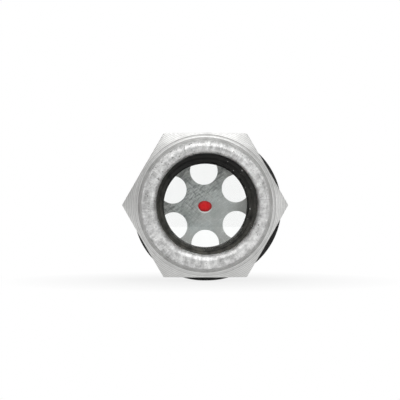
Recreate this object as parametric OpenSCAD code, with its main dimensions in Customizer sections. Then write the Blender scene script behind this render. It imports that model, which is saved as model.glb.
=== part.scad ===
// Oil sight glass: a hexagon-headed aluminium body that screws into the wall of an oil sump.
// A glass disc, its two rubber seals and a perforated reflector are stacked in a pocket from the
// front, and the collar around the pocket is rolled inwards over them. A loose rubber gasket
// seals the head against the wall.
// Every piece is drawn with the sight axis on +Z and the glass facing +Z, from the plane where
// the gasket meets the wall. facing_front() then turns it, so that the glass faces -Y with +Z up.

/* [Thread] */
// Major diameter of the mounting thread
thread_d = 33; // [26:0.5:42]
// Length of the thread behind the wall plane
thread_len = 10; // [6:0.5:20]
// Chamfer on the end of the thread
thread_chamfer = 1; // [0.4:0.1:1.6]
// Radial depth of the relief between thread and hexagon
relief_depth = 1.1; // [0.8:0.1:1.6]
// Width of the relief, measured from the back of the hexagon
relief_w = 2; // [1:0.1:4]
// Metal between the relief and the oil bore
neck_wall = 2.4; // [1.6:0.1:4]
// Chamfer on the mouth of the oil bore
bore_chamfer = 0.5; // [0.2:0.1:1]

/* [Body] */
// Width of the ledge that the reflector sits on
ledge_w = 3; // [2:0.1:4.5]
// Thickness of that ledge above the back of the hexagon
ledge_t = 2; // [1.2:0.1:5]
// Metal left outside the rolled rim at the flats of the hexagon
hex_margin = 2.25; // [1.8:0.05:5]

/* [Rolled rim] */
// Wall of the collar that is rolled over the glass
collar_wall = 2.25; // [1.6:0.05:3.2]
// How far the rolled lip reaches in over the stack
lip_reach = 1.8; // [1:0.1:2.6]
// Metal from the underside of the lip to the crown of the rim
lip_t = 2.2; // [1.7:0.1:3]
// How far the underside of the lip lies in front of the hexagon's face
lip_stand = 0.9; // [0.4:0.1:2]
// Radius of the round ridge that the rolling tool raises at the foot of the rim
ridge_r = 0.6; // [0.3:0.05:0.9]
// How far that ridge stands in front of the hexagon's face
ridge_h = 0.4; // [0.2:0.05:0.5]
// Valley between the rim and the ridge
valley_w = 0.4; // [0.2:0.05:0.8]

/* [Glass and seals] */
// Radial clearance of the stack in the pocket
stack_gap = 0.45; // [0.2:0.05:0.8]
// Side to which the loose stack has settled, in degrees from +X
stack_side = 222; // [0:1:359]
// Thickness of the glass
glass_t = 4; // [3:0.1:8]
// Ground bevel on the edges of the glass
glass_bevel = 0.35; // [0.2:0.05:0.8]
// Thickness of the front seal
front_seal_t = 1.6; // [1:0.1:3]
// How far the front seal shows inside the lip
seal_show = 1.8; // [1:0.1:3]
// Thickness of the front seal's thin inner edge
seal_edge_t = 0.5; // [0.3:0.1:0.8]
// Thickness of the rear seal
rear_seal_t = 1.5; // [0.8:0.1:3]
// How far the rear seal reaches in past the front seal's inner edge
rear_seal_in = 0.35; // [0:0.05:1]

/* [Reflector] */
// Thickness of the reflector sheet
reflector_t = 0.8; // [0.5:0.1:1.5]
// Number of oil holes
hole_count = 6; // [4:1:8]
// Metal between an oil hole and the edge of the reflector
hole_edge = 1.125; // [0.5:0.025:3]
// Narrowest web between two oil holes
hole_web = 2.5; // [1.5:0.1:4]
// Turn of the reflector from having a web level with the axis, in degrees
reflector_turn = 1.2; // [-15:0.1:15]
// Width of the red enamel dot that marks the level
dot_w = 4; // [3:0.1:5]
// Height of that dot
dot_tall = 3.3; // [2.5:0.1:4]
// Rise of the dot from the sheet
dot_rise = 0.45; // [0.2:0.05:0.8]

/* [Gasket] */
// Thickness of the gasket
gasket_t = 2; // [1:0.1:4]
// Radial clearance of the gasket over the thread
gasket_gap = 0.7; // [0.2:0.05:1.2]
// How far the gasket stands out past the flats of the hexagon
gasket_proud = 1.4; // [0.4:0.1:3]
// Radius on the edges of the gasket
gasket_edge_r = 0.4; // [0.1:0.05:0.5]
// Side to which the loose gasket hangs, in degrees from +X
gasket_side = 4; // [0:1:359]

/* [Hidden] */
$fn = 96;
// Clearance left where a settled piece comes nearest to its neighbour
touch = 0.05;
// Overlap of the solids of one piece, so that they join
join = 0.5;

// Radii, from the thread outwards
thread_r = thread_d / 2;
neck_r = thread_r - relief_depth;
bore_r = neck_r - neck_wall;
pocket_r = bore_r + ledge_w;
stack_r = pocket_r - stack_gap;
lip_r = pocket_r - lip_reach;
view_r = lip_r - seal_show;
rear_view_r = view_r - rear_seal_in;
rim_r = pocket_r + collar_wall;
flat_r = rim_r + hex_margin;
corner_r = flat_r / cos(30);
gasket_in_r = thread_r + gasket_gap;
gasket_out_r = flat_r + gasket_proud;

// Heights, from the wall plane towards the front
hex_back_z = gasket_t;
thread_top_z = hex_back_z - relief_w;
ledge_z = hex_back_z + ledge_t;
rear_seal_z = ledge_z + reflector_t;
glass_z = rear_seal_z + rear_seal_t;
front_seal_z = glass_z + glass_t;
lip_z = front_seal_z + front_seal_t;
hex_front_z = lip_z - lip_stand;
crown_z = lip_z + lip_t;

// Section of the rolled rim and of the ridge at its foot
bead_r = (rim_r - lip_r) / 2;
bead_mid_r = (rim_r + lip_r) / 2;
bead_z = crown_z - bead_r;
ridge_mid_r = rim_r + valley_w + ridge_r;
ridge_z = hex_front_z + ridge_h - ridge_r;

// Oil holes: the circle they lie on leaves the web between them and the edge outside them
hole_spread = sin(180 / hole_count);
hole_pcd = 2 * (stack_r - hole_edge + hole_web / 2) / (1 + hole_spread);
hole_d = hole_pcd * hole_spread - hole_web;

// Settled pieces lie against one side of their clearance
stack_shift = stack_gap - touch;
gasket_shift = gasket_gap - touch;

module facing_front() {
    rotate([90, 0, 0]) children();
}

module shifted(distance, side) {
    translate([distance * cos(side), distance * sin(side), 0]) children();
}

module in_stack(z) {
    shifted(stack_shift, stack_side) translate([0, 0, z]) children();
}

// Flat ring with its faces at 0 and h
module ring(inner_r, outer_r, h) {
    rotate_extrude()
        translate([inner_r, 0]) square([outer_r - inner_r, h]);
}

// Section of the collar after rolling: an upright wall that ends in a half-round bead
module rim_section() {
    difference() {
        union() {
            translate([pocket_r, hex_front_z - join])
                square([collar_wall, bead_z - hex_front_z + join]);
            translate([bead_mid_r, bead_z]) circle(bead_r);
        }
        square([pocket_r, lip_z]);
    }
}

module rolled_rim() {
    rotate_extrude() rim_section();
    intersection() {
        rotate_extrude() translate([ridge_mid_r, ridge_z]) circle(ridge_r);
        translate([0, 0, hex_back_z]) cylinder(r = corner_r, h = crown_z, $fn = 6);
    }
}

// Threaded shank at its major diameter, with the relief behind the hexagon and the lead-in chamfer
module shank() {
    translate([0, 0, -thread_len])
        cylinder(r1 = thread_r - thread_chamfer, r2 = thread_r, h = thread_chamfer);
    translate([0, 0, thread_chamfer - thread_len])
        cylinder(r = thread_r, h = thread_len - thread_chamfer + thread_top_z);
    translate([0, 0, -thread_len / 2])
        cylinder(r = neck_r, h = hex_back_z + thread_len / 2 + join);
}

module body() {
    color("#b4b6b4")
        difference() {
            union() {
                translate([0, 0, hex_back_z])
                    cylinder(r = corner_r, h = hex_front_z - hex_back_z, $fn = 6);
                rolled_rim();
                shank();
            }
            translate([0, 0, ledge_z]) cylinder(r = pocket_r, h = lip_z - ledge_z);
            translate([0, 0, -thread_len - join])
                cylinder(r = bore_r, h = ledge_z + thread_len + 2 * join);
            translate([0, 0, -thread_len - join])
                cylinder(r1 = bore_r + bore_chamfer + join, r2 = bore_r, h = bore_chamfer + join);
        }
}

// The front seal slopes down from under the lip to a thin edge on the glass
module front_seal() {
    slope_r = max(lip_r - stack_shift, view_r + seal_edge_t);
    color("#26272a")
        in_stack(front_seal_z)
            rotate_extrude()
                polygon([
                    [view_r, 0],
                    [stack_r, 0],
                    [stack_r, front_seal_t],
                    [slope_r, front_seal_t],
                    [view_r, seal_edge_t]
                ]);
}

module glass() {
    color("#dfe9e6", 0.35)
        in_stack(glass_z) {
            cylinder(r1 = stack_r - glass_bevel, r2 = stack_r, h = glass_bevel);
            translate([0, 0, glass_bevel]) cylinder(r = stack_r, h = glass_t - 2 * glass_bevel);
            translate([0, 0, glass_t - glass_bevel])
                cylinder(r1 = stack_r, r2 = stack_r - glass_bevel, h = glass_bevel);
        }
}

module rear_seal() {
    color("#26272a") in_stack(rear_seal_z) ring(rear_view_r, stack_r, rear_seal_t);
}

// Sheet disc pierced by a circle of oil holes
module reflector() {
    color("#a9aeab")
        in_stack(ledge_z)
            difference() {
                cylinder(r = stack_r, h = reflector_t);
                for (i = [0 : hole_count - 1])
                    rotate(reflector_turn + 360 * (i + 0.5) / hole_count)
                        translate([hole_pcd / 2, 0, -join])
                            cylinder(d = hole_d, h = reflector_t + 2 * join);
            }
}

// Domed cap of a sphere, with its flat side at 0
module cap(d, rise) {
    ball_r = (d * d / 4 + rise * rise) / (2 * rise);
    rotate_extrude()
        intersection() {
            translate([0, rise - ball_r]) circle(ball_r);
            square([d, rise]);
        }
}

// Drop of enamel, a little wider than it is tall
module level_dot() {
    color("#c8262c")
        in_stack(rear_seal_z)
            hull()
                for (side = [-1, 1])
                    translate([side * (dot_w - dot_tall) / 2, 0, 0]) cap(dot_tall, dot_rise, $fn = 32);
}

// Moulded ring with rounded edges
module flange_gasket() {
    width = gasket_out_r - gasket_in_r;
    e = gasket_edge_r;
    color("#1f2021")
        shifted(gasket_shift, gasket_side)
            rotate_extrude()
                translate([gasket_in_r, 0]) {
                    translate([0, e]) square([width, gasket_t - 2 * e]);
                    translate([e, 0]) square([width - 2 * e, gasket_t]);
                    for (x = [e, width - e], y = [e, gasket_t - e]) translate([x, y]) circle(e);
                }
}

facing_front() body();
facing_front() front_seal();
facing_front() glass();
facing_front() rear_seal();
facing_front() reflector();
facing_front() level_dot();
facing_front() flange_gasket();
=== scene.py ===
import math

import bmesh
import bpy
from mathutils import Matrix, Vector, noise


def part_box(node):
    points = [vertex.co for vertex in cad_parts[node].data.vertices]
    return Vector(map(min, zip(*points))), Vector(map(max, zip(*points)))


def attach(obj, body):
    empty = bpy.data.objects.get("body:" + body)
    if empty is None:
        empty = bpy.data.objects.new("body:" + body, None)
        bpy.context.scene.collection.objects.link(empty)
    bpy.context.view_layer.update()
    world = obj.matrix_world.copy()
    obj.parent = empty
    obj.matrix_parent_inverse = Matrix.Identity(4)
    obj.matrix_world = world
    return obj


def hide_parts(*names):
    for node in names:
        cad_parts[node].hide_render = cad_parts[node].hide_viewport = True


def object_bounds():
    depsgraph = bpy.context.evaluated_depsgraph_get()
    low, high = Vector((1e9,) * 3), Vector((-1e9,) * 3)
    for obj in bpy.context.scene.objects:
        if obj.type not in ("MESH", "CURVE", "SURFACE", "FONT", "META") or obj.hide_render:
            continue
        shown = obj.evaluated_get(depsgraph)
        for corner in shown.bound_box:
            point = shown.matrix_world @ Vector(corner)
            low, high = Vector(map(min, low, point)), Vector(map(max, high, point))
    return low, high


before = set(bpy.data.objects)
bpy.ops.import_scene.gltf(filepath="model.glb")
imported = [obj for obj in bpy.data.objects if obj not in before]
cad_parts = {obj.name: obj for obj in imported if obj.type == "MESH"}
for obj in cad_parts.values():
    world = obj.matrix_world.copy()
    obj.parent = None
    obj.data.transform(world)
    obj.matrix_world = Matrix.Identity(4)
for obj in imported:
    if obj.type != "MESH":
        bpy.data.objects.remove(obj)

cad_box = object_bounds()

# Body: one piece of hexagon aluminium bar. The thread, the oil bore, the pocket and the chamfer on the
# hexagon's corners are turned. The collar round the pocket is rolled inwards once the glass is in, which
# leaves a round rim with a mottled skin and a low ridge at its foot.
MM = 0.001
AXIS = Vector((0, 1, 0))
body_low, body_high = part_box("body")
flat_r = body_high.z
corner_r = body_high.x
crown_y = body_low.y
shank_end_y = body_high.y
hex_back_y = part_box("flange_gasket")[0].y
wall_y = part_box("flange_gasket")[1].y
lip_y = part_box("front_seal")[0].y
ledge_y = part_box("reflector")[1].y
lip_stand = 0.9 * MM
hex_front_y = lip_y + lip_stand
pocket_r = 16.0 * MM
lip_r = 14.2 * MM
rim_r = 18.25 * MM
bead_r = (rim_r - lip_r) / 2
bead_mid_r = (rim_r + lip_r) / 2
bead_y = crown_y + bead_r
ridge_r = 0.6 * MM
ridge_mid_r = 19.25 * MM
ridge_y = hex_front_y + 0.2 * MM
bore_r = 13.0 * MM
bore_chamfer = 0.5 * MM
neck_r = 15.4 * MM
thread_r = 16.5 * MM
thread_pitch = 1.5 * MM
thread_depth = 0.92 * MM
thread_chamfer = 1.0 * MM
thread_rings = 112
spin_steps = 192
hex_edge = 0.10 * MM
chamfer_r = flat_r - 0.4 * MM
chamfer_slope = math.tan(math.radians(20))


def arc(mid_r, mid_y, radius, start, end, steps):
    """Points of a section's arc. 0 degrees points outwards from the axis and 90 to the front."""
    angles = [math.radians(start + (end - start) * i / steps) for i in range(steps + 1)]
    return [(mid_r + radius * math.cos(a), mid_y - radius * math.sin(a)) for a in angles]


def line(start, end, steps):
    """Points between two ends of a section's straight stretch, without the ends."""
    return [tuple(Vector(start).lerp(Vector(end), i / steps)) for i in range(1, steps)]


def turned(outline, steps=spin_steps):
    """A bmesh of a closed section, as (radius, y) points, spun once round the axis."""
    bm = bmesh.new()
    verts = [bm.verts.new((r, y, 0)) for r, y in outline]
    edges = [bm.edges.new((verts[i - 1], verts[i])) for i in range(len(verts))]
    bmesh.ops.spin(bm, geom=verts + edges, angle=math.tau, steps=steps, axis=AXIS,
                   cent=(0, 0, 0), use_merge=True)
    bmesh.ops.remove_doubles(bm, verts=bm.verts, dist=0.001 * MM)
    bmesh.ops.recalc_face_normals(bm, faces=bm.faces)
    return bm


def make_piece(bm, name, materials, node, sharp=32):
    """Turns a bmesh into the piece that stands for a CAD node."""
    mesh = bpy.data.meshes.new(name)
    bm.to_mesh(mesh)
    bm.free()
    for material in materials:
        mesh.materials.append(material)
    mesh.shade_smooth()
    mesh.set_sharp_from_angle(angle=math.radians(sharp))
    piece = bpy.data.objects.new(name, mesh)
    bpy.context.collection.objects.link(piece)
    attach(piece, "root")
    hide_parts(node)
    return piece


def off_axis(co):
    """Distance of a point from the sight axis."""
    return math.hypot(co.x, co.z)


def put(tree, kind, inputs=None, **settings):
    """Adds a shader node. An input is a value, or a socket that is linked to it."""
    added = tree.nodes.new(kind)
    for key, value in settings.items():
        setattr(added, key, value)
    for key, value in (inputs or {}).items():
        if isinstance(value, bpy.types.NodeSocket):
            tree.links.new(value, added.inputs[key])
        else:
            added.inputs[key].default_value = value
    return added


def new_material(name, **values):
    """A material, its tree and its shader, with the values that are the same all over."""
    material = bpy.data.materials.new(name)
    material.use_nodes = True
    tree = material.node_tree
    shader = tree.nodes["Principled BSDF"]
    for key, value in values.items():
        shader.inputs[key.replace("_", " ")].default_value = value
    return material, tree, shader


def place(tree, scale=(1, 1, 1), turn=(0, 0, 0), shift=(0, 0, 0), kind="POINT"):
    """Object coordinates, scaled and turned. TEXTURE turns first and then stretches."""
    coords = put(tree, "ShaderNodeTexCoord")
    return put(tree, "ShaderNodeMapping", {"Vector": coords.outputs["Object"], "Location": shift,
                                           "Rotation": turn, "Scale": scale},
               vector_type=kind).outputs["Vector"]


def place_side(tree, side):
    """One of the object coordinates, in metres."""
    return put(tree, "ShaderNodeSeparateXYZ", {"Vector": place(tree)}).outputs[side]


def mottle(tree, vector, scale, detail=4.0, rough=0.6):
    """Cloudy noise from 0 to 1."""
    return put(tree, "ShaderNodeTexNoise", {"Vector": vector, "Scale": scale, "Detail": detail,
                                            "Roughness": rough}).outputs["Fac"]


def ramp(tree, factor, stops):
    """Colours, or greys given as one number, at places along a factor."""
    added = put(tree, "ShaderNodeValToRGB", {"Fac": factor})
    points = added.color_ramp.elements
    while len(points) < len(stops):
        points.new(1.0)
    for point, (where, colour) in zip(points, stops):
        point.position = where
        point.color = (*colour, 1) if isinstance(colour, tuple) else (colour, colour, colour, 1)
    return added.outputs["Color"]


def maths(tree, operation, *values, clamp=False):
    """One arithmetic step."""
    return put(tree, "ShaderNodeMath", dict(enumerate(values)), operation=operation,
               use_clamp=clamp).outputs["Value"]


def blend(tree, factor, under, over, mode="MIX"):
    """One colour over another."""
    added = put(tree, "ShaderNodeMix", data_type="RGBA", blend_type=mode)
    for socket, value in ((added.inputs["Factor"], factor), (added.inputs["A"], under),
                          (added.inputs["B"], over)):
        if isinstance(value, bpy.types.NodeSocket):
            tree.links.new(value, socket)
        else:
            socket.default_value = value
    return added.outputs["Result"]


def bump(tree, height, distance, strength=1.0, under=None):
    """A normal from a height of 0 to 1, over another normal."""
    inputs = {"Height": height, "Distance": distance, "Strength": strength}
    if under:
        inputs["Normal"] = under
    return put(tree, "ShaderNodeBump", inputs).outputs["Normal"]


def radius_from_axis(tree):
    """Distance from the sight axis, in metres."""
    flat = place(tree, scale=(1, 0, 1))
    return put(tree, "ShaderNodeVectorMath", {0: flat}, operation="LENGTH").outputs["Value"]


def turned_aluminium():
    """Faced aluminium with the fine rings that the tool leaves."""
    material, tree, shader = new_material("turned_aluminium", Metallic=1.0)
    feed = 0.48 * MM
    radius = radius_from_axis(tree)
    wander = mottle(tree, place(tree), 900.0, 2.0)
    phase = maths(tree, "MULTIPLY_ADD", radius, math.tau / feed, maths(tree, "MULTIPLY", wander, 1.6))
    rings = maths(tree, "MULTIPLY_ADD", maths(tree, "SINE", phase), 0.5, 0.5)
    clouds = mottle(tree, place(tree), 260.0, 6.0, 0.65)
    specks = mottle(tree, place(tree), 2600.0, 3.0, 0.7)
    colour = ramp(tree, clouds, [(0.3, (0.60, 0.60, 0.59)), (0.7, (0.76, 0.76, 0.75))])
    colour = blend(tree, ramp(tree, specks, [(0.56, 0.0), (0.7, 0.4)]), colour, (0.42, 0.42, 0.41, 1))
    colour = blend(tree, ramp(tree, rings, [(0.0, 0.55), (0.5, 0.0)]), colour, (0.33, 0.33, 0.325, 1))
    tree.links.new(colour, shader.inputs["Base Color"])
    tree.links.new(ramp(tree, clouds, [(0.3, 0.42), (0.7, 0.32)]), shader.inputs["Roughness"])
    skin = bump(tree, specks, 0.012 * MM, 0.6)
    tree.links.new(bump(tree, rings, 0.03 * MM, 0.8, skin), shader.inputs["Normal"])
    return material


def rolled_aluminium():
    """Skin of the rolled rim: mottled, drawn out in short radial streaks, with small dark pits."""
    material, tree, shader = new_material("rolled_aluminium", Metallic=1.0)
    round_axis = put(tree, "ShaderNodeVectorMath", {0: place(tree, scale=(1, 0, 1))},
                     operation="NORMALIZE").outputs["Vector"]
    radius = radius_from_axis(tree)
    along = put(tree, "ShaderNodeCombineXYZ", {"Y": maths(tree, "MULTIPLY", radius, 260.0)})
    streak_place = put(tree, "ShaderNodeVectorMath",
                       {0: round_axis, 1: (34.0, 0, 34.0), 2: along.outputs["Vector"]},
                       operation="MULTIPLY_ADD").outputs["Vector"]
    streaks = mottle(tree, streak_place, 1.0, 4.0, 0.6)
    patches = ramp(tree, mottle(tree, place(tree), 170.0, 2.0, 0.5), [(0.40, 0.25), (0.60, 1.0)])
    clouds = mottle(tree, place(tree), 620.0, 6.0, 0.68)
    pits = mottle(tree, place(tree), 1250.0, 2.0, 0.5)
    upper_left = maths(tree, "SUBTRACT", place_side(tree, "Z"), place_side(tree, "X"))
    upper_left = maths(tree, "MULTIPLY_ADD", upper_left, 3.2, 0.0, clamp=True)
    pitted = ramp(tree, maths(tree, "ADD", pits, upper_left), [(0.66, 0.0), (0.76, 0.8)])
    colour = ramp(tree, clouds, [(0.32, (0.38, 0.38, 0.375)), (0.5, (0.68, 0.68, 0.675)),
                                 (0.66, (0.93, 0.93, 0.92))])
    dark_streaks = maths(tree, "MULTIPLY", ramp(tree, streaks, [(0.38, 0.45), (0.52, 0.0)]), patches)
    pale_streaks = maths(tree, "MULTIPLY", ramp(tree, streaks, [(0.58, 0.0), (0.68, 0.7)]), patches)
    colour = blend(tree, dark_streaks, colour, (0.40, 0.40, 0.395, 1))
    colour = blend(tree, pale_streaks, colour, (0.92, 0.92, 0.91, 1))
    colour = blend(tree, pitted, colour, (0.16, 0.16, 0.155, 1))
    tree.links.new(colour, shader.inputs["Base Color"])
    tree.links.new(ramp(tree, streaks, [(0.35, 0.50), (0.62, 0.36)]), shader.inputs["Roughness"])
    skin = bump(tree, maths(tree, "MULTIPLY", streaks, patches), 0.07 * MM, 0.8)
    skin = bump(tree, clouds, 0.13 * MM, 0.9, skin)
    tree.links.new(bump(tree, maths(tree, "SUBTRACT", 1.0, pitted), 0.02 * MM, 0.8, skin),
                   shader.inputs["Normal"])
    return material


def drawn_aluminium():
    """Flats of the bar as drawn, with long marks along the axis."""
    material, tree, shader = new_material("drawn_aluminium", Metallic=1.0)
    marks = mottle(tree, place(tree, scale=(1, 0.05, 1)), 2400.0, 3.0, 0.6)
    clouds = mottle(tree, place(tree), 220.0, 5.0, 0.6)
    colour = ramp(tree, clouds, [(0.3, (0.58, 0.58, 0.57)), (0.7, (0.72, 0.72, 0.71))])
    colour = blend(tree, ramp(tree, marks, [(0.36, 0.3), (0.5, 0.0)]), colour, (0.45, 0.45, 0.44, 1))
    tree.links.new(colour, shader.inputs["Base Color"])
    tree.links.new(ramp(tree, marks, [(0.3, 0.46), (0.7, 0.32)]), shader.inputs["Roughness"])
    tree.links.new(bump(tree, marks, 0.02 * MM, 0.6), shader.inputs["Normal"])
    return material


def threaded_aluminium():
    """Shank, bore and pocket, cut with a coarse feed."""
    material, tree, shader = new_material("threaded_aluminium", Metallic=1.0)
    feed = 0.18 * MM
    depth = place_side(tree, "Y")
    rings = maths(tree, "SINE", maths(tree, "MULTIPLY", depth, math.tau / feed))
    rings = maths(tree, "MULTIPLY_ADD", rings, 0.5, 0.5)
    clouds = mottle(tree, place(tree), 300.0, 5.0, 0.6)
    colour = ramp(tree, clouds, [(0.3, (0.60, 0.60, 0.59)), (0.7, (0.75, 0.75, 0.74))])
    tree.links.new(colour, shader.inputs["Base Color"])
    tree.links.new(ramp(tree, clouds, [(0.3, 0.40), (0.7, 0.27)]), shader.inputs["Roughness"])
    tree.links.new(bump(tree, rings, 0.006 * MM, 0.6), shader.inputs["Normal"])
    return material


shank_start, shank_stop = (thread_r, wall_y), (thread_r, shank_end_y - thread_chamfer)
shank_end_r = thread_r - thread_chamfer
past_corner_r = corner_r * 1.02
chamfer_end_y = hex_front_y + (past_corner_r - chamfer_r) * chamfer_slope
body_bm = turned(
    arc(bead_mid_r, bead_y, bead_r, 185, 0, 40)
    + [(rim_r, hex_front_y - 0.30 * MM), (rim_r + 0.04 * MM, hex_front_y - 0.14 * MM),
       (rim_r + 0.14 * MM, hex_front_y - 0.04 * MM), (rim_r + 0.26 * MM, hex_front_y - 0.03 * MM)]
    + arc(ridge_mid_r, ridge_y, ridge_r, 152, 25, 12)
    + [(ridge_mid_r + ridge_r, hex_front_y), (chamfer_r, hex_front_y)]
    + line((chamfer_r, hex_front_y), (past_corner_r, chamfer_end_y), 8)
    + [(past_corner_r, chamfer_end_y), (past_corner_r, hex_back_y)]
    + line((past_corner_r, hex_back_y), (neck_r, hex_back_y), 6)
    + [(neck_r, hex_back_y), (neck_r, wall_y), shank_start]
    + line(shank_start, shank_stop, thread_rings) + [shank_stop]
    + line(shank_stop, (shank_end_r, shank_end_y), 10)
    + [(shank_end_r, shank_end_y), (bore_r + bore_chamfer, shank_end_y),
       (bore_r, shank_end_y - bore_chamfer), (bore_r, ledge_y), (pocket_r, ledge_y),
       (pocket_r, lip_y)])

# The six flats are cut off the turned blank, and their edges are broken.
flat_normals = [Matrix.Rotation(math.radians(30 + 60 * i), 3, AXIS) @ Vector((1, 0, 0))
                for i in range(6)]
for normal in flat_normals:
    bmesh.ops.bisect_plane(body_bm, geom=body_bm.verts[:] + body_bm.edges[:] + body_bm.faces[:],
                           dist=0.0005 * MM, plane_co=normal * flat_r, plane_no=normal,
                           clear_outer=True)
    bmesh.ops.holes_fill(body_bm, edges=[e for e in body_bm.edges if e.is_boundary], sides=0)
bmesh.ops.recalc_face_normals(body_bm, faces=body_bm.faces)


def on_flat(face):
    """Which flat of the hexagon a face lies on, or None."""
    for i, normal in enumerate(flat_normals):
        if face.normal.dot(normal) > 0.999 and face.calc_center_median().dot(normal) > flat_r * 0.999:
            return i
    return None


hex_edges = [e for e in body_bm.edges
             if len(e.link_faces) == 2 and on_flat(e.link_faces[0]) != on_flat(e.link_faces[1])]
bmesh.ops.bevel(body_bm, geom=hex_edges, offset=hex_edge, affect="EDGES", segments=2, profile=0.5,
                material=-1)


def thread_cut(co):
    """Radius of the cut thread at a point of the shank."""
    turn = math.atan2(co.z, co.x) / math.tau
    phase = ((co.y - wall_y) / thread_pitch + turn) % 1.0
    from_crest = min(phase, 1 - phase)
    crest, root = 0.07, 0.40
    cut = min(max((from_crest - crest) / (root - crest), 0), 1)
    return thread_r - thread_depth * cut


def lip_wander(co):
    """How far the uneven inner edge of the lip strays at a point, from -1 to 1."""
    spot = Vector((co.x, 0, co.z)).normalized()
    return 0.7 * noise.noise(spot * 2.3) + 0.5 * noise.noise(spot * 7.0 + Vector((5, 0, 0)))


lip_shift = Vector((0.42, 0, 0.26)) * MM
lip_open = 0.08 * MM
lip_uneven = 0.16 * MM
rim_dents = 0.035 * MM
body_bm.normal_update()
for v in body_bm.verts:
    r = off_axis(v.co)
    if v.co.y > wall_y - 0.01 * MM and r > neck_r + 0.05 * MM:
        limit = shank_end_r + (shank_end_y - v.co.y)
        new_r = min(thread_cut(v.co), limit)
        v.co.x *= new_r / r
        v.co.z *= new_r / r
    elif v.co.y < hex_front_y - 0.25 * MM and r < rim_r + 0.05 * MM and v.co.y < lip_y + 0.01 * MM:
        near_lip = min(max((rim_r - 0.8 * MM - r) / (rim_r - 0.8 * MM - lip_r), 0), 1)
        outwards = Vector((v.co.x, 0, v.co.z)) / r
        dent = noise.noise(v.co * 480.0) + 0.6 * noise.noise(v.co * 1250.0)
        v.co += lip_shift * near_lip
        v.co += outwards * near_lip ** 2 * (lip_open + lip_uneven * lip_wander(v.co))
        v.co.y += max(rim_dents * dent, 0)

TURNED, ROLLED, DRAWN, THREADED = range(4)
body_bm.normal_update()
for face in body_bm.faces:
    middle = face.calc_center_median()
    r = off_axis(middle)
    if middle.y < lip_y + 0.4 * MM and r < ridge_mid_r - 0.7 * ridge_r and middle.y < hex_front_y:
        face.material_index = ROLLED
    elif on_flat(face) is not None:
        face.material_index = DRAWN
    elif r > neck_r + 0.3 * MM and middle.y < hex_back_y + 0.3 * MM:
        face.material_index = TURNED
    else:
        face.material_index = THREADED
make_piece(body_bm, "body_hexagon",
           [turned_aluminium(), rolled_aluminium(), drawn_aluminium(), threaded_aluminium()],
           "body")

# Reflector: a disc punched from zinc-plated sheet, with a ring of oil holes. It lies on the ledge at
# the bottom of the pocket, a little off centre, and throws light back through the oil.
reflector_low, reflector_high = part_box("reflector")
reflector_mid = (reflector_low + reflector_high) / 2 + Vector((0.20, 0, -0.30)) * MM
reflector_mid.y = 0
reflector_r = (reflector_high.x - reflector_low.x) / 2 - 0.2 * MM
sheet_front_y = reflector_low.y
hole_count = 6
hole_ring_r = 10.45 * MM
hole_r = 3.975 * MM
hole_turn = math.radians(1.2)
punch_edge = 0.10 * MM
dot_low, dot_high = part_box("level_dot")
dot_mid = (dot_low + dot_high) / 2 + Vector((0.28, 0, 0)) * MM


def zinc_plate():
    """Dull zinc with a faint blue bloom and crossed scratches, most of them at the upper left, and a
    painted highlight along the lower edge of the red dot.
    """
    material, tree, shader = new_material("zinc_plate", Metallic=0.8)
    clouds = mottle(tree, place(tree), 300.0, 6.0, 0.62)
    bloom = mottle(tree, place(tree, shift=(0.02, 0, 0.01)), 150.0, 3.0, 0.5)
    colour = ramp(tree, clouds, [(0.28, (0.46, 0.48, 0.47)), (0.5, (0.55, 0.57, 0.56)),
                                 (0.72, (0.63, 0.645, 0.635))])
    colour = blend(tree, ramp(tree, bloom, [(0.48, 0.0), (0.72, 0.4)]), colour,
                   (0.49, 0.565, 0.57, 1))
    upper_left = maths(tree, "SUBTRACT", place_side(tree, "Z"), place_side(tree, "X"))
    worn = maths(tree, "MULTIPLY_ADD", upper_left, 70.0, 0.40, clamp=True)
    outside = maths(tree, "MULTIPLY", radius_from_axis(tree), 60.0)
    outside = ramp(tree, outside, [(0.42, 0.0), (0.66, 0.8)])
    colour = blend(tree, outside, colour, (0.47, 0.465, 0.45, 1))
    for angle, scale in ((-0.8, 2300.0), (-1.05, 2900.0), (-0.55, 2600.0), (0.75, 2100.0)):
        lines = mottle(tree, place(tree, scale=(6, 1, 1), turn=(0, angle, 0), kind="TEXTURE"),
                       scale, 2.0, 0.5)
        dark = ramp(tree, lines, [(0.33, 0.85), (0.47, 0.0)])
        colour = blend(tree, maths(tree, "MULTIPLY", dark, worn), colour, (0.23, 0.24, 0.235, 1))
        colour = blend(tree, ramp(tree, lines, [(0.62, 0.0), (0.72, 0.45)]), colour,
                       (0.78, 0.79, 0.785, 1))
    # Painted highlight: a pale crescent on the plate just under the red dot, where the edge of the drop
    # catches the lamp above.
    below_dot = place(tree, shift=(-0.84 * dot_mid.x, 0, 0.3 * MM - dot_mid.z), scale=(0.84, 0, 1))
    reach = put(tree, "ShaderNodeVectorMath", {0: below_dot}, operation="LENGTH").outputs["Value"]
    painted_highlight = ramp(tree, maths(tree, "MULTIPLY", reach, 400.0), [(0.62, 0.9), (0.74, 0.0)])
    under = maths(tree, "MULTIPLY_ADD", place_side(tree, "Z"), -900.0, dot_mid.z * 900.0, clamp=True)
    colour = blend(tree, maths(tree, "MULTIPLY", painted_highlight, under), colour, (0.95, 0.95, 0.94, 1))
    tree.links.new(colour, shader.inputs["Base Color"])
    tree.links.new(ramp(tree, clouds, [(0.3, 0.56), (0.7, 0.46)]), shader.inputs["Roughness"])
    tree.links.new(bump(tree, clouds, 0.04 * MM, 0.6), shader.inputs["Normal"])
    return material


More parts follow.
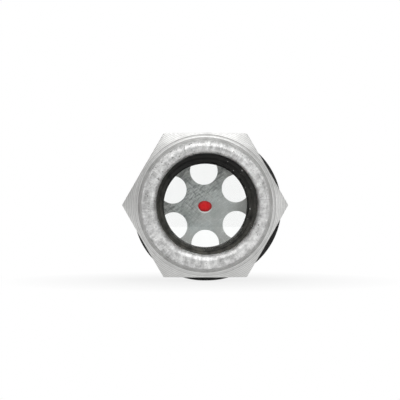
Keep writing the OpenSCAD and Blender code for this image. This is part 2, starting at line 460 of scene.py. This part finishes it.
reflector_bm = bmesh.new()
stand_up = Matrix.Rotation(math.radians(90), 4, "X")
at_sheet = Matrix.Translation(reflector_mid + Vector((0, reflector_high.y, 0)))
bmesh.ops.create_circle(reflector_bm, radius=reflector_r, segments=144, matrix=at_sheet @ stand_up)
for i in range(hole_count):
    turn = hole_turn + math.tau * (i + 0.5) / hole_count
    spot = Matrix.Translation(Vector((math.cos(turn), 0, math.sin(turn))) * hole_ring_r)
    bmesh.ops.create_circle(reflector_bm, radius=hole_r, segments=64,
                            matrix=at_sheet @ spot @ stand_up)
bmesh.ops.triangle_fill(reflector_bm, use_beauty=True, use_dissolve=False, edges=reflector_bm.edges)
grown = bmesh.ops.extrude_face_region(reflector_bm, geom=reflector_bm.faces[:])
bmesh.ops.translate(reflector_bm, vec=(0, sheet_front_y - reflector_high.y, 0),
                    verts=[v for v in grown["geom"] if isinstance(v, bmesh.types.BMVert)])
bmesh.ops.recalc_face_normals(reflector_bm, faces=reflector_bm.faces)
cut_edges = [e for e in reflector_bm.edges
             if len(e.link_faces) == 2 and e.calc_face_angle() > math.radians(60)]
bmesh.ops.bevel(reflector_bm, geom=cut_edges, offset=punch_edge, affect="EDGES", segments=2,
                profile=0.5, material=-1)
make_piece(reflector_bm, "reflector_disc", [zinc_plate()], "reflector")

# Level dot: a drop of red enamel dabbed by hand on the middle of the reflector. It dries to a low
# dome that is wider than it is tall, with an uneven edge.
dot_rise = dot_high.y - dot_low.y
dot_uneven = 0.03


def red_enamel():
    """Gloss red, darker towards the edge of the drop."""
    material, tree, shader = new_material("red_enamel", Specular_IOR_Level=0.1, Coat_Weight=0.15,
                                          Coat_Roughness=0.08)
    middle = place(tree, shift=(-dot_mid.x, 0, -dot_mid.z), scale=(1, 0, 1.2))
    spread = put(tree, "ShaderNodeVectorMath", {0: middle}, operation="LENGTH").outputs["Value"]
    clouds = mottle(tree, place(tree), 1100.0, 3.0, 0.6)
    reach = maths(tree, "MULTIPLY_ADD", clouds, 0.35, maths(tree, "MULTIPLY", spread, 430.0))
    colour = ramp(tree, reach, [(0.3, (0.98, 0.010, 0.014)), (0.7, (0.88, 0.006, 0.010)),
                                (1.0, (0.45, 0.008, 0.012))])
    tree.links.new(colour, shader.inputs["Base Color"])
    tree.links.new(ramp(tree, clouds, [(0.3, 0.36), (0.7, 0.22)]), shader.inputs["Roughness"])
    tree.links.new(bump(tree, clouds, 0.05 * MM, 0.5), shader.inputs["Normal"])
    return material


dot_bm = bmesh.new()
bmesh.ops.create_uvsphere(dot_bm, u_segments=64, v_segments=32, radius=1.0,
                          matrix=Matrix.Rotation(math.radians(90), 4, "X"))
bmesh.ops.bisect_plane(dot_bm, geom=dot_bm.verts[:] + dot_bm.edges[:] + dot_bm.faces[:], dist=1e-6,
                       plane_co=(0, 0, 0), plane_no=AXIS, clear_outer=True)
bmesh.ops.holes_fill(dot_bm, edges=[e for e in dot_bm.edges if e.is_boundary], sides=0)
bmesh.ops.recalc_face_normals(dot_bm, faces=dot_bm.faces)
for v in dot_bm.verts:
    stray = 1 + dot_uneven * (2 * noise.noise(v.co * 1.4 + Vector((3, 1, 2))) - 0.5)
    v.co = Vector((dot_mid.x + v.co.x * stray * (dot_high.x - dot_low.x) / 2,
                   dot_high.y + v.co.y * dot_rise,
                   dot_mid.z + v.co.z * stray * (dot_high.z - dot_low.z) / 2))
make_piece(dot_bm, "red_level_dot", [red_enamel()], "level_dot")

# Rear seal: a flat ring cut from black nitrile rubber sheet. It keeps the glass off the reflector and
# shows through the glass as a thin dark line inside the front seal.
rear_low, rear_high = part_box("rear_seal")
stack_r = (rear_high.x - rear_low.x) / 2
rear_view_r = 11.95 * MM
seal_side = Vector((0.12, 0, -0.03)) * MM
seal_corner = 0.12 * MM


def black_rubber(name, pale_tint, pale_tint_height, speck_lean):
    """Matt black rubber with a fine grain, a pale tint that grows towards the bottom as painted light,
    and a few pale specks.
    """
    material, tree, shader = new_material(name, Specular_IOR_Level=0.25)
    grain = mottle(tree, place(tree), 5200.0, 2.0, 0.5)
    clouds = mottle(tree, place(tree), 420.0, 5.0, 0.65)
    # Painted light: a pale tint that grows towards the bottom, where the rubber's slopes face the lamp
    # above. Over a tall height it is nearly even.
    low = maths(tree, "MULTIPLY_ADD", place_side(tree, "Z"), -1.0 / pale_tint_height, 0.5, clamp=True)
    painted_light_below = maths(tree, "MULTIPLY", low, ramp(tree, clouds, [(0.35, 0.15), (0.7, 1.0)]))
    colour = ramp(tree, clouds, [(0.3, (0.006, 0.006, 0.0065)), (0.7, (0.014, 0.014, 0.0145))])
    colour = blend(tree, painted_light_below, colour, (*pale_tint, 1))
    specks = mottle(tree, place(tree), 1500.0, 1.0, 0.3)
    specks = maths(tree, "MULTIPLY_ADD", place_side(tree, "X"), speck_lean, specks)
    colour = blend(tree, ramp(tree, specks, [(0.79, 0.0), (0.82, 0.9)]), colour, (0.6, 0.6, 0.58, 1))
    tree.links.new(colour, shader.inputs["Base Color"])
    tree.links.new(ramp(tree, clouds, [(0.3, 0.58), (0.7, 0.74)]), shader.inputs["Roughness"])
    skin = bump(tree, grain, 0.03 * MM, 0.6)
    tree.links.new(bump(tree, clouds, 0.06 * MM, 0.5, skin), shader.inputs["Normal"])
    return material


def corner(r, y, size, start):
    """A rounded corner of a section, a quarter turn from a start angle."""
    return arc(r, y, size, start, start - 90, 5)


# On the front seal the pale tint fills the lower half: painted light on the slope that faces the lamp
# above.
seal_rubber = black_rubber("seal_rubber", (0.125, 0.122, 0.104), 31 * MM, 5.0)
rear_bm = turned(
    corner(rear_view_r + seal_corner, rear_low.y + seal_corner, seal_corner, 180)
    + corner(stack_r - seal_corner, rear_low.y + seal_corner, seal_corner, 90)
    + corner(stack_r - seal_corner, rear_high.y - seal_corner, seal_corner, 0)
    + corner(rear_view_r + seal_corner, rear_high.y - seal_corner, seal_corner, -90), 128)
bmesh.ops.translate(rear_bm, vec=seal_side, verts=rear_bm.verts)
make_piece(rear_bm, "rear_rubber_seal", [seal_rubber], "rear_seal")

# Glass: a disc of clear toughened glass with ground bevels on both edges, clamped between the two
# seals. The faces stand a hair off the rubber, so that light leaves the glass before it meets it.
glass_low, glass_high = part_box("glass")
glass_bevel = 0.35 * MM
film = 0.02 * MM


def clear_glass():
    """Clear glass with a faint green tint and wiped smears. Lamps shine through it."""
    material, tree, shader = new_material("clear_glass", IOR=1.5, Transmission_Weight=1.0)
    smears = mottle(tree, place(tree, scale=(1, 1, 0.35), turn=(0, 0.6, 0)), 260.0, 4.0, 0.6)
    tree.links.new(ramp(tree, smears, [(0.45, 0.0), (0.8, 0.05)]), shader.inputs["Roughness"])
    tree.links.new(ramp(tree, smears, [(0.4, (0.985, 0.995, 0.99)), (0.8, (0.95, 0.965, 0.955))]),
                   shader.inputs["Base Color"])
    path = put(tree, "ShaderNodeLightPath")
    through = put(tree, "ShaderNodeBsdfTransparent", {"Color": (0.96, 0.98, 0.97, 1)})
    mixed = put(tree, "ShaderNodeMixShader", {0: path.outputs["Is Shadow Ray"],
                                              1: shader.outputs["BSDF"],
                                              2: through.outputs["BSDF"]})
    output = tree.nodes["Material Output"]
    tree.links.new(mixed.outputs["Shader"], output.inputs["Surface"])
    return material


glass_bm = bmesh.new()
bmesh.ops.create_cone(glass_bm, cap_ends=True, segments=160, radius1=stack_r, radius2=stack_r,
                      depth=glass_high.y - glass_low.y - 2 * film,
                      matrix=Matrix.Translation((0, (glass_low.y + glass_high.y) / 2, 0)) @ stand_up)
rim_edges = [e for e in glass_bm.edges if e.calc_face_angle() > math.radians(60)]
bmesh.ops.bevel(glass_bm, geom=rim_edges, offset=glass_bevel, affect="EDGES", segments=1, profile=0.5,
                material=-1)
make_piece(glass_bm, "sight_glass_disc", [clear_glass()], "glass", 25)

# Front seal: a moulded black rubber ring squeezed between the lip and the glass. Inside the lip it
# slopes down to a thin edge on the glass, and its lower half is painted paler as painted light.
front_low, front_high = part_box("front_seal")
view_r = 12.3 * MM
seal_edge = 0.5 * MM
slope_r = 13.8 * MM
edge_wander = 0.09 * MM
seal_bead_r = 13.0 * MM
seal_bead_foot = (seal_bead_r - 0.16 * MM, front_high.y - 0.80 * MM)
front_bm = turned(
    arc(view_r + 0.1 * MM, front_high.y - seal_edge + 0.12 * MM, 0.1 * MM, 180, 130, 4)
    + line((view_r + 0.04 * MM, front_high.y - seal_edge), seal_bead_foot, 6) + [seal_bead_foot]
    + arc(seal_bead_r, seal_bead_foot[1] - 0.02 * MM, 0.16 * MM, 170, 20, 8)
    + line((seal_bead_r + 0.17 * MM, seal_bead_foot[1] - 0.08 * MM),
           (slope_r - 0.25 * MM, front_low.y + 0.22 * MM), 8)
    + arc(slope_r + 0.05 * MM, front_low.y + 0.3 * MM, 0.3 * MM, 140, 90, 6)
    + corner(stack_r - seal_corner, front_low.y + seal_corner, seal_corner, 90)
    + corner(stack_r - seal_corner, front_high.y - seal_corner, seal_corner, 0)
    + [(view_r + 0.05 * MM, front_high.y), (view_r, front_high.y - 0.05 * MM)])
for v in front_bm.verts:
    r = off_axis(v.co)
    inner = min(max((slope_r - r) / (slope_r - view_r), 0), 1)
    spot = Vector((v.co.x, 0, v.co.z)) / r
    stray = noise.noise(spot * 3.1 + Vector((9, 0, 4))) + 0.6 * noise.noise(spot * 11.0)
    v.co += spot * edge_wander * inner * stray
bmesh.ops.translate(front_bm, vec=seal_side, verts=front_bm.verts)
make_piece(front_bm, "front_rubber_seal", [seal_rubber], "front_seal")

# Gasket: a loose moulded ring of black rubber that slides over the thread and seals the hexagon
# against the wall. It hangs to one side, so that it shows unevenly past the flats.
gasket_low, gasket_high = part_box("flange_gasket")
gasket_mid = Vector((0.9, 0, -0.33)) * MM
gasket_out_r = (gasket_high.x - gasket_low.x) / 2 - 0.4 * MM
gasket_in_r = 17.5 * MM
gasket_round = 0.4 * MM
gasket_sag = 0.55 * MM
gasket_sag_side = math.radians(224)
gasket_bm = turned(
    corner(gasket_in_r + gasket_round, gasket_low.y + gasket_round, gasket_round, 180)
    + corner(gasket_out_r - gasket_round, gasket_low.y + gasket_round, gasket_round, 90)
    + corner(gasket_out_r - gasket_round, gasket_high.y - gasket_round, gasket_round, 0)
    + corner(gasket_in_r + gasket_round, gasket_high.y - gasket_round, gasket_round, -90))
for v in gasket_bm.verts:
    turn = math.atan2(v.co.z, v.co.x)
    from_sag = turn - gasket_sag_side
    sag = gasket_sag * max(math.cos(2 * from_sag), 0) if math.cos(from_sag) > 0 else 0
    v.co += Vector((v.co.x, 0, v.co.z)).normalized() * sag
bmesh.ops.translate(gasket_bm, vec=gasket_mid, verts=gasket_bm.verts)
gasket_rubber = black_rubber("gasket_rubber", (0.06, 0.06, 0.056), 300 * MM, 0.0)
make_piece(gasket_bm, "rubber_gasket", [gasket_rubber], "flange_gasket")

# Studio: a pale floor level with the solids' lowest point, a white backdrop behind and a soft room in
# front, with a dark spot where the lens stands, a large soft lamp above and a weak one on the right.
floor_reach = 2.0


def eye_metal_or_glass(tree):
    """1 for rays from the camera, from metal and through glass, which all show the white background."""
    path = put(tree, "ShaderNodeLightPath")
    seen = maths(tree, "MAXIMUM", path.outputs["Is Camera Ray"], path.outputs["Is Glossy Ray"])
    return maths(tree, "MAXIMUM", seen, path.outputs["Is Transmission Ray"])


def pale_floor():
    """White to the eye, with the soft shadow of the object near it."""
    material, tree, shader = new_material("pale_floor", Roughness=0.9, Specular_IOR_Level=0.1)
    speckle = mottle(tree, place(tree), 900.0, 3.0)
    tree.links.new(ramp(tree, speckle, [(0.3, 0.50), (0.7, 0.54)]), shader.inputs["Base Color"])
    seen = eye_metal_or_glass(tree)
    flat = place(tree, scale=(1, 1, 0))
    away = put(tree, "ShaderNodeVectorMath", {0: flat}, operation="LENGTH").outputs["Value"]
    white_share = ramp(tree, maths(tree, "MULTIPLY", away, 8.0, clamp=True), [(0.17, 0.82), (0.48, 1.0)])
    white = put(tree, "ShaderNodeEmission", {"Color": (1, 1, 1, 1), "Strength": 1.0})
    mixed = put(tree, "ShaderNodeMixShader", {0: maths(tree, "MULTIPLY", seen, white_share),
                                              1: shader.outputs["BSDF"], 2: white.outputs["Emission"]})
    tree.links.new(mixed.outputs["Shader"], tree.nodes["Material Output"].inputs["Surface"])
    return material


floor_bm = bmesh.new()
bmesh.ops.create_grid(floor_bm, x_segments=1, y_segments=1, size=floor_reach,
                      matrix=Matrix.Translation((0, 0, cad_box[0].z)))
floor_mesh = bpy.data.meshes.new("floor")
floor_bm.to_mesh(floor_mesh)
floor_bm.free()
floor_mesh.materials.append(pale_floor())
floor = bpy.data.objects.new("floor", floor_mesh)
bpy.context.collection.objects.link(floor)

scene = bpy.context.scene
scene.view_settings.view_transform = "Standard"
world = bpy.data.worlds.new("studio")
world.use_nodes = True
scene.world = world
sky = world.node_tree
sky_ray = put(sky, "ShaderNodeSeparateXYZ",
              {"Vector": put(sky, "ShaderNodeTexCoord").outputs["Generated"]})
upwards = maths(sky, "MULTIPLY_ADD", sky_ray.outputs["Z"], 0.5, 0.5)
backwards = maths(sky, "MULTIPLY_ADD", sky_ray.outputs["Y"], 0.5, 0.5)
forwards = maths(sky, "MULTIPLY_ADD", sky_ray.outputs["Y"], -0.5, 0.5)
behind = ramp(sky, backwards, [(0.42, 0.0), (0.5, 1.0)])
room = ramp(sky, upwards, [(0.15, 0.07), (0.42, 0.26), (0.55, 0.52), (0.74, 1.0)])
lens_side = ramp(sky, forwards, [(0.986, 0.0), (0.995, 1.0)])
ahead = ramp(sky, forwards, [(0.82, 0.70), (0.94, 1.1)])
room = blend(sky, 1.0, room, ahead, "MULTIPLY")
room = blend(sky, lens_side, room, (0.12, 0.12, 0.12, 1))
backdrop = maths(sky, "MULTIPLY", eye_metal_or_glass(sky), behind)
surround = blend(sky, backdrop, room, (1, 1, 1, 1))
sky.links.new(surround, sky.nodes["Background"].inputs["Color"])


def soft_lamp(name, direction, distance, size, watts):
    """A square area lamp that points at the object."""
    lamp = bpy.data.lights.new(name, "AREA")
    lamp.size = size
    lamp.energy = watts
    holder = bpy.data.objects.new(name, lamp)
    toward = Vector(direction).normalized()
    holder.location = toward * distance
    holder.rotation_euler = toward.to_track_quat("Z", "Y").to_euler()
    bpy.context.collection.objects.link(holder)


soft_lamp("top_lamp", (0.02, -0.70, 0.90), 0.40, 0.34, 0.50)
soft_lamp("right_lamp", (0.72, -0.68, 0.04), 0.30, 0.10, 0.035)

# Camera: looks along the sight axis from slightly below and left, with a long lens. The hexagon's
# width in the picture sets how wide the view is.
picture_px = 400
hex_flats_px = 144.6
hex_middle_px = Vector((205.3, 205.1))
camera_distance = 0.350
camera_left = math.radians(1.0)
camera_below = math.radians(0.8)
metres_per_px = 2 * flat_r / hex_flats_px
off_centre = (hex_middle_px - Vector((picture_px, picture_px)) / 2) * metres_per_px
aim = Vector((-off_centre.x, hex_front_y, off_centre.y))
away = Vector((-math.sin(camera_left), -math.cos(camera_left) * math.cos(camera_below),
               -math.sin(camera_below)))
lens = bpy.data.cameras.new("camera")
lens.sensor_width = 36
lens.lens = lens.sensor_width * camera_distance / (picture_px * metres_per_px)
lens.clip_start = 0.01
camera = bpy.data.objects.new("camera", lens)
camera.location = aim + away * camera_distance
camera.rotation_euler = away.to_track_quat("Z", "Y").to_euler()
bpy.context.collection.objects.link(camera)
scene.camera = camera
